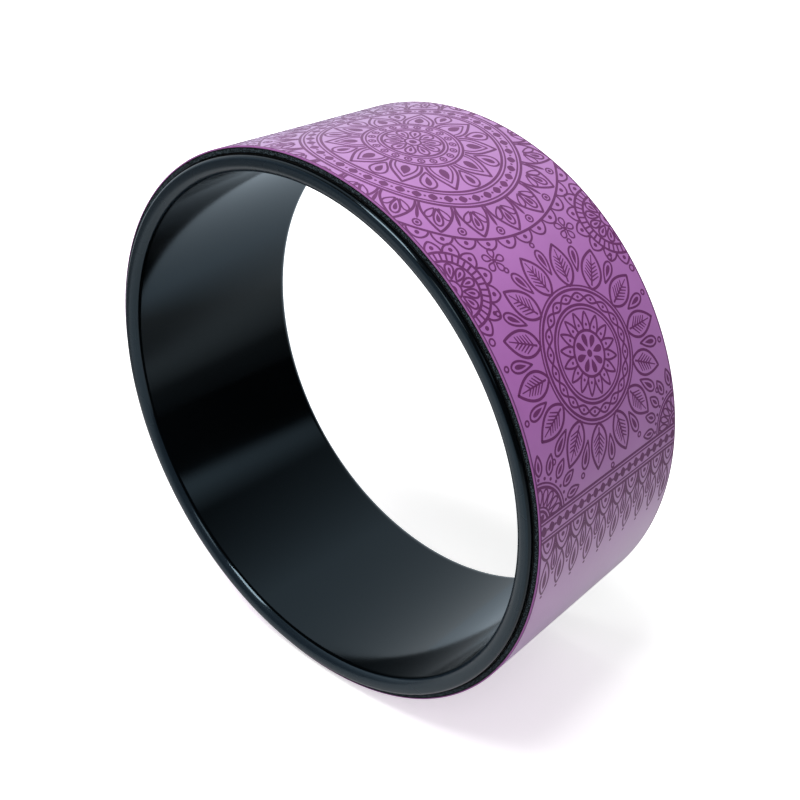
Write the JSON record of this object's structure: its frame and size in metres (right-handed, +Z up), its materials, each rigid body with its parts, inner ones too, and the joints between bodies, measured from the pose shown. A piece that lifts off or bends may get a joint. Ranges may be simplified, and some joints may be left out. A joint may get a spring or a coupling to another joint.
{
  "type": "yoga wheel",
  "caption": "Rigid plastic hoop wrapped in a glued rubber strip with a printed purple top sheet, rolled under the back for yoga stretches and balance poses.",
  "frame": {"origin": "centre of the wheel, on its axis and midway between the hoop's end faces", "axes": "+Y along the wheel's axis, +Z up as the wheel stands on its tread, with the print's middle near the top"},
  "size_m": [0.332, 0.132, 0.332],
  "materials": {
    "hoop_plastic": "black moulded plastic, satin to glossy inside, matte on the turned end faces",
    "pad_rubber": "black cellular rubber with a grainy cut edge",
    "tread_skin": "matte purple polyurethane sheet with a darker printed ornament",
    "adhesive": "dark contact adhesive"
  },
  "bodies": {
    "root": {"hoop": "hoop_plastic", "hoop_adhesive": "adhesive", "rubber_pad": "pad_rubber", "sheet_adhesive": "adhesive", "top_sheet": "tread_skin", "seam_glue": "adhesive"}
  },
  "joints": []
}
